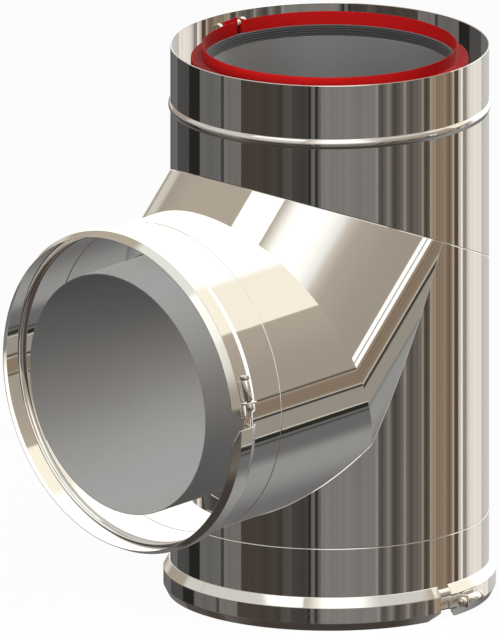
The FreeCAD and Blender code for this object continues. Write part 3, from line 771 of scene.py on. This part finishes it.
def taper_lip(bm, clamps, edge, side, run_out):
    """Draw the lip flange in towards the opening, over run_out from the band's end."""
    end = Vector((cos(edge), sin(edge), 0))
    away = Vector((sin(edge), -cos(edge), 0)) * side
    slope = (clamps.lip - clamps.web) / clamps.web_low
    for vert in bm.verts:
        along = vert.co.dot(away)
        drop = clamps.web_low - vert.co.z
        if drop > 0 and -LIP_SLACK < along < run_out and vert.co.dot(end) > 0:
            cut = drop * (1 - clamps.least_lip) * (1 - max(along, 0) / run_out)
            radius = hypot(vert.co.x, vert.co.y)
            factor = (radius - cut * slope) / radius
            vert.co = (vert.co.x * factor, vert.co.y * factor, vert.co.z + cut)


def outer_clamp(context, name, place, hand):
    """V band round a collar with its tongue and lock."""
    jacket, clamps = context.scene.flue_jacket, context.scene.flue_clamps
    lip, web = jacket.radius + clamps.lip, jacket.radius + clamps.web
    neck = jacket.radius + clamps.slip + clamps.sheet
    wall = clamps.sheet
    start = clamps.after if hand > 0 else clamps.before
    sweep = FULL_TURN - clamps.before - clamps.after
    band = spin_profile([
        (lip, 0), (web, clamps.web_low), (web, clamps.web_high), (neck, clamps.width),
        (neck - wall, clamps.width), (web - wall, clamps.web_high),
        (web - wall, clamps.web_low), (lip - wall, 0)], jacket.steps, closed=True,
        start=start, sweep=sweep)
    taper_lip(band, clamps, -hand * clamps.before, hand, clamps.taper)
    taper_lip(band, clamps, hand * clamps.after, -hand, clamps.corner)
    soften_creases(band, BAND_EDGE, 3)
    for vert in band.verts:
        vert.co.z = max(vert.co.z, 0.0)
    move(band, place)
    add_piece(name + "_band_formed", band, "polished_clamp", [name + "_band"], place, crease=35)

    tab_place = clamps.lug_length / 2 + clamps.tab_gap
    middle = (clamps.web_low + clamps.web_high) / 2
    lock = Lock(clamps, name, place, hand, clamps.lug_angle, web, middle, tab_place)
    make_lug(clamps, lock, "polished_clamp")
    make_nut_and_screw(clamps, lock)

    under, over, half = web - wall - clamps.seat, web + clamps.seat, clamps.tongue_half
    low, high = under - clamps.tongue, over + clamps.tongue
    riser_end = clamps.after - RISER_GAP
    riser_start = riser_end - RISER
    tongue = [lock.sector(outer, inner, half, first, last) for outer, inner, first, last in (
        (under, low, -(clamps.before + TONGUE_REACH), riser_end),
        (high, low, riser_start, riser_end),
        (high, over, riser_start, clamps.lug_angle - tab_place / web))]
    tab = lock.plate(over, web + clamps.tab_rise, tab_place, clamps.tab, middle - half,
                     middle + half)
    lock.add("tongue", join(tongue + [tab]), "polished_clamp", place)


class OuterClampsOperator(bpy.types.Operator):
    """Form the bottom and branch clamps with their locks"""

    bl_idname = "flue.outer_clamps"
    bl_label = "Outer clamps"

    def execute(self, context):
        mitres = Mitres(context.scene.flue_jacket)
        outer_clamp(context, "bottom_clamp", mitres.run_frame, 1)
        outer_clamp(context, "branch_clamp", mitres.lip_frame, -1)
        return {"FINISHED"}


class FlueClampOperator(bpy.types.Operator):
    """Form the red clamp round the flue socket with its lock"""

    bl_idname = "flue.flue_clamp"
    bl_label = "Flue clamp"

    def execute(self, context):
        jacket, flue = context.scene.flue_jacket, context.scene.flue_pipes
        clamps = context.scene.flue_clamps
        top, wall = jacket.height, clamps.red_sheet
        bore = flue.radius + clamps.red_neck
        face, web = bore + wall, flue.radius + clamps.red_web
        flange = top - clamps.red_collar
        corner = flange - clamps.red_web_height
        foot = corner - clamps.red_flank
        flank = flue.radius + clamps.slip
        sweep = FULL_TURN - clamps.before - clamps.after
        place = Matrix.Rotation(pi, 4, "Z")
        band = spin_profile([
            (bore, top), (face, top), (face, flange), (web, flange), (web, corner),
            (flank + wall / 2, foot - wall * FLANK_FOOT), (flank, foot + wall * FLANK_CORNER),
            (web - wall, corner + wall * FLANK_CORNER), (web - wall, flange - wall),
            (bore, flange - wall)], jacket.steps, closed=True, start=clamps.after, sweep=sweep)
        opening = face * sin(clamps.red_lug_angle + clamps.before)
        lock = Lock(clamps, "inner_clamp", place, 1, clamps.red_lug_angle, face,
                    top - clamps.lock_drop, opening)
        soften_creases(band, RED_EDGE, 3)
        ear = lock.plate(bore, face + clamps.ear_rise, opening, clamps.tab,
                         flange - wall / 2, top)
        soften_creases(ear, EAR_EDGE)
        bm = join([band, ear])
        move(bm, place)
        add_piece("inner_clamp_band_formed", bm, "red_clamp", ["inner_clamp_band"], place,
                  crease=35)
        make_lug(clamps, lock, "red_clamp")
        make_nut_and_screw(clamps, lock)
        return {"FINISHED"}


# Stage

# Tones of the studio
WINDOW_CREAM = (1.12, 1.05, 0.89)
WINDOW_WHITE = (1.35, 1.34, 1.28)
CEILING = (0.88, 0.90, 0.84)
WALL_LOW = (0.41, 0.36, 0.30)
WALL_HIGH = (0.52, 0.45, 0.37)
FLOOR_DARK = (0.17, 0.165, 0.165)
FLOOR_LIGHT = (0.34, 0.34, 0.335)
NADIR = (0.060, 0.050, 0.045)
BROWN = (0.110, 0.085, 0.070)
SIDE_LIGHT = (0.70, 0.69, 0.65)
SILL = (0.36, 0.33, 0.28)
SHADOW_GAP = (0.025, 0.026, 0.018)
WHITE = (1.0, 1.0, 1.0)

# Screens round the studio: where each starts, in degrees round from +X, how light it is, and
# how far its tone is pulled towards brown.
BACK_SCREENS = (
    (-180, 0.075, 0.1), (-169, 0.022, 0.2), (-154, 0.15, 0.1), (-131, 0.06, 0.1),
    (-128, 0.18, 0.3), (-113, 0.060, 0.8), (-94, 0.057, 0.5), (-80, 0.085, 0.5),
    (-73, 0.06, 0.3), (-61, 0.03, 0.0), (-59, 0.16, 0.1), (-56, 0.03, 0.1), (-54, 0.13, 0.1),
    (-52, 0.22, 0.22), (-10, 0.09, 0.3), (-6, 0.17, 0.4))
FRONT_SCREENS = (
    (0, 0.17, 0.4), (3.5, 0.11, 0.5), (10, 0.23, 0.3), (12, 0.13, 0.5), (25, 0.23, 0.5),
    (27, 0.085, 0.6), (33, 0.33, 1.0), (38, 0.22, 1.1), (48, 0.31, 1.1), (57, 0.06, 0.4),
    (62, 0.60, 0.8), (65, 1.00, 0.2), (68, 0.26, 0.4), (73, 0.60, 0.4), (80, 0.66, 0.5),
    (99, 0.23, 0.2), (102, 0.30, 0.1), (113, 0.30, 0.05), (121, 0.36, 0.05), (138, 0.10, 0.1),
    (141, 0.22, 0.1), (147, 0.06, 0.1), (151, 0.16, 0.1), (170, 0.075, 0.1))
# Change of red, green and blue in a screen that is pulled all the way towards brown
BROWNING = (0.22, -0.06, -0.30)

# Fine vertical lines in the screens: how many, how strong, and the side where they are stronger
LINE_SCALE, LINE_DETAIL = 52.0, 3.0
LINE_STRENGTH, LINE_EXTRA, LEAST_LINE = 0.5, 1.9, 0.25
BUSY_SIDE = (-12, 64, -90, 90)

# Patches, each laid over the ones before: its azimuths and elevations in degrees, how soft its
# edges are, and its tone.
LOW_PATCHES = (
    ((36, 64, -26.8, -18.3), 0.3, SILL),
    ((36, 52, -18.2, -17.0), 0.2, (0.05, 0.045, 0.04)),
    ((40, 60, -17.0, -16.4), 0.15, (0.60, 0.58, 0.52)),
    ((40, 60, -27.4, -26.8), 0.15, (0.75, 0.74, 0.66)),
    ((40, 60, -29.6, -27.4), 0.3, SHADOW_GAP),
    ((40, 60, -31.6, -30.6), 0.3, (0.08, 0.08, 0.08)))
WALL_PATCHES = (
    ((40, 60, -8.5, -7.4), 0.2, (0.13, 0.10, 0.07)),
    ((40, 84, 30.2, 80), 0.4, WINDOW_CREAM),
    ((54, 80, 6, 29), 1, WINDOW_CREAM),
    ((76, 142, -14, 80), 4, WINDOW_WHITE),
    ((150, 166, -4, 12), 4, (0.70, 0.66, 0.58)),
    ((-168, -150, 6, 30), 2, SIDE_LIGHT),
    ((-150, -66, 6, 44), 2, SIDE_LIGHT),
    ((-20, 38, 33, 52), 2, SIDE_LIGHT))
HIGH_WINDOW = (((-114, -67, 40, 78), 0.5, WINDOW_WHITE),)
SLIT_PATCHES = (
    ((30.5, 36.7, -12, -4), 0.4, WINDOW_WHITE),
    ((33.2, 34.0, -12, -4), 0.2, (0.30, 0.29, 0.26)))
PLAIN_FLOOR, PLAIN_SOFT = (28, 158, -90, 0), 6
SCREEN_FOOT, SCREEN_FOOT_SOFT = (36.7, 46.0, -14.2, -9.6), 0.3

# Lamps: where each hangs, how wide it is, and its power as a multiple of the key lamp's
LAMPS = (("key_lamp", (0.35, -0.95, 0.62), 0.4, 1), ("high_lamp", (0.9, 0.3, 1.9), 1.2, 2))
FLOOR_HALF, FLOOR_GLOW = 8.0, 0.96
CAMERA_AWAY, CAMERA_REACH = 3.0, 20.0


class Studio(Graph):
    """Studio that only reflections see: screens, a window and a skylight over a dark floor."""

    def __init__(self, tree):
        super().__init__(tree)
        self.nodes.clear()
        split = self.nodes.new("ShaderNodeSeparateXYZ")
        self.feed(split.inputs["Vector"], self.add("TexCoord", {}, "Generated"))
        self.azimuth = self.math("ARCTAN2", split.outputs["Y"], split.outputs["X"])
        self.elevation = self.math("ARCSINE", split.outputs["Z"])

    def step(self, value, low, high):
        """0 below low and 1 above high, in degrees, or the other way round where high is less."""
        return self.add("MapRange", {"Value": value, "From Min": radians(low),
                                     "From Max": radians(high)},
                        interpolation_type="SMOOTHSTEP")

    def above(self, low, high):
        return self.step(self.elevation, low, high)

    def between(self, value, low, full, fall, high):
        """Mask that rises from low to full and falls again from fall to high."""
        return self.math("MULTIPLY", self.step(value, low, full), self.step(value, high, fall))

    def patch(self, sides, soft):
        """Mask of a rectangle of directions."""
        left, right, low, high = sides
        return self.math(
            "MULTIPLY",
            self.between(self.azimuth, left - soft, left + soft, right - soft, right + soft),
            self.between(self.elevation, low - soft, low + soft, high - soft, high + soft))

    def mix(self, factor, first, second):
        """Second colour over the first."""
        first, second = (tone + (1.0,) if isinstance(tone, tuple) else tone
                         for tone in (first, second))
        return self.add("Mix", {0: factor, 6: first, 7: second}, 2, data_type="RGBA")

    def lay(self, room, patches):
        """Room with patches over it, each over the ones before."""
        for sides, soft, tone in patches:
            room = self.mix(self.patch(sides, soft), room, tone)
        return room

    def screens(self, bands, turn):
        """One half of the ring of screens."""
        ramp = self.nodes.new("ShaderNodeValToRGB")
        ramp.color_ramp.interpolation = "CONSTANT"
        stops = ramp.color_ramp.elements
        stops.remove(stops[1])
        for index, (start, tone, warmth) in enumerate(bands):
            place = (start - bands[0][0]) / 180
            stop = stops.new(place) if index else stops[0]
            stop.position = place
            stop.color = [tone * (1 + shift * warmth) for shift in BROWNING] + [1.0]
        self.feed(ramp.inputs["Fac"], turn)
        return ramp.outputs["Color"]

    def ring(self):
        """Whole ring of screens, with its fine lines."""
        half_turns = self.math("DIVIDE", self.azimuth, pi)
        back = self.screens(BACK_SCREENS, self.math("ADD", half_turns, 1.0))
        ring = self.mix(self.math("GREATER_THAN", self.azimuth, 0.0), back,
                        self.screens(FRONT_SCREENS, half_turns))
        around = self.math("DIVIDE", self.math("ADD", self.azimuth, pi), FULL_TURN)
        lines = self.add("TexNoise", {"W": around, "Scale": LINE_SCALE, "Detail": LINE_DETAIL},
                         noise_dimensions="1D")
        strength = self.math("ADD", self.math("MULTIPLY", self.patch(BUSY_SIDE, 4), LINE_EXTRA),
                             LINE_STRENGTH)
        waver = self.math("MULTIPLY", self.math("SUBTRACT", lines, 0.5), strength)
        waver = self.math("MAXIMUM", self.math("ADD", waver, 1.0), LEAST_LINE)
        return self.add("VectorMath", {0: ring, "Scale": waver}, operation="SCALE")

    def floor(self, ring):
        """Dark floor that mirrors the screens dimly, but not in front of the shoulder."""
        pool = self.between(self.azimuth, 60, 70, 76, 122)
        plain = self.mix(pool, FLOOR_DARK, FLOOR_LIGHT)
        mirrored = self.mix(self.above(-70, -18), BROWN, ring)
        floor = self.mix(self.patch(PLAIN_FLOOR, PLAIN_SOFT), mirrored, plain)
        return self.mix(self.above(-50, -60), floor, NADIR)

    def skylight(self):
        """Mask of the broad soft light behind the branch."""
        return self.math("MULTIPLY", self.between(self.azimuth, -70, -44, -27, -1),
                         self.above(-2, 16))

    def build(self, fill):
        """Join the studio, an even light and a white background to the world's output."""
        ring = self.ring()
        wall = self.mix(self.above(0, 36), WALL_LOW, WALL_HIGH)
        room = self.mix(self.above(-19.5, -18.5), self.floor(ring), ring)
        room = self.lay(room, LOW_PATCHES)
        room = self.mix(self.above(-10, -8.5), room, wall)
        room = self.lay(room, WALL_PATCHES)
        room = self.mix(self.skylight(), room, WINDOW_WHITE)
        room = self.lay(room, HIGH_WINDOW)
        room = self.mix(self.above(61, 68), room, CEILING)
        room = self.lay(room, SLIT_PATCHES)
        room = self.mix(self.patch(SCREEN_FOOT, SCREEN_FOOT_SOFT), room, ring)
        light = self.mix(self.add("LightPath", {}, "Is Glossy Ray"), (fill, fill, fill), room)
        seen = self.mix(self.add("LightPath", {}, "Is Camera Ray"), light, WHITE)
        output = self.nodes.new("ShaderNodeOutputWorld")
        self.feed(output.inputs["Surface"], self.add("Background", {"Color": seen}))


def floor_material(base):
    """Pale floor that looks almost white and keeps the object's shadow."""
    made = Finish("studio_floor")
    made.set("Roughness", 0.9)
    made.tint(made.grain(3.0, 3.0), base, 0.004)
    share = made.math("MULTIPLY", made.add("LightPath", {}, "Is Camera Ray"), FLOOR_GLOW)
    blend = made.add("MixShader", {0: share, 1: made.shader.outputs["BSDF"],
                                   2: made.add("Emission", {"Strength": 1.0})})
    made.feed(made.nodes["Material Output"].inputs["Surface"], blend)
    return made.material


class StageOperator(bpy.types.Operator):
    """Set the pale floor, the studio's surroundings, the lamps and the camera"""

    bl_idname = "flue.stage"
    bl_label = "Stage"

    def execute(self, context):
        scene, settings = context.scene, context.scene.flue_stage
        bm = bmesh.new()
        bmesh.ops.create_grid(bm, x_segments=1, y_segments=1, size=FLOOR_HALF)
        material = floor_material(scene.flue_finishes.floor)
        floor = link_object("studio_floor", finished_mesh("studio_floor", bm, material))
        floor.visible_diffuse = False

        scene.world = bpy.data.worlds.new("studio")
        scene.world.use_nodes = True
        Studio(scene.world.node_tree).build(settings.fill)

        aim = Vector(settings.aim)
        for name, spot, size, power in LAMPS:
            lamp = bpy.data.lights.new(name, "AREA")
            lamp.size = size
            lamp.energy = settings.key * power
            holder = link_object(name, lamp)
            holder.location = spot
            holder.rotation_euler = (aim - Vector(spot)).to_track_quat("-Z", "Y").to_euler()
            holder.visible_camera = False

        back = Vector((sin(settings.azimuth) * cos(settings.elevation),
                       -cos(settings.azimuth) * cos(settings.elevation),
                       sin(settings.elevation)))
        camera = bpy.data.cameras.new("view")
        camera.type = "ORTHO"
        camera.ortho_scale = settings.span
        camera.clip_end = CAMERA_REACH
        scene.camera = link_object("view", camera)
        scene.camera.location = aim + back * CAMERA_AWAY
        scene.camera.rotation_euler = (-back).to_track_quat("-Z", "Y").to_euler()
        scene.view_settings.view_transform = "Standard"
        return {"FINISHED"}


class FluePanel(bpy.types.Panel):
    """Lists the tee's pieces in the sidebar."""

    bl_idname = "FLUE_PT_tee"
    bl_label = "Twin-wall flue tee"
    bl_space_type = "VIEW_3D"
    bl_region_type = "UI"
    bl_category = "Flue tee"

    def draw(self, context):
        for operator in OPERATORS:
            self.layout.operator(operator.bl_idname)


OPERATORS = (JacketOperator, FlueOperator, SpacersOperator, OuterClampsOperator,
             FlueClampOperator, StageOperator)
GROUPS = (("flue_jacket", JacketSizes), ("flue_pipes", FlueSizes), ("flue_clamps", ClampSizes),
          ("flue_finishes", Finishes), ("flue_stage", StageSizes))


def register():
    for name, group in GROUPS:
        bpy.utils.register_class(group)
        setattr(bpy.types.Scene, name, PointerProperty(type=group))
    for operator in OPERATORS:
        bpy.utils.register_class(operator)
    bpy.utils.register_class(FluePanel)


def unregister():
    bpy.utils.unregister_class(FluePanel)
    for operator in reversed(OPERATORS):
        bpy.utils.unregister_class(operator)
    for name, group in reversed(GROUPS):
        delattr(bpy.types.Scene, name)
        bpy.utils.unregister_class(group)


def main():
    """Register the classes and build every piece."""
    register()
    for operator in OPERATORS:
        group, name = operator.bl_idname.split(".")
        getattr(getattr(bpy.ops, group), name)()
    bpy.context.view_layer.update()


if __name__ == "__main__":
    main()
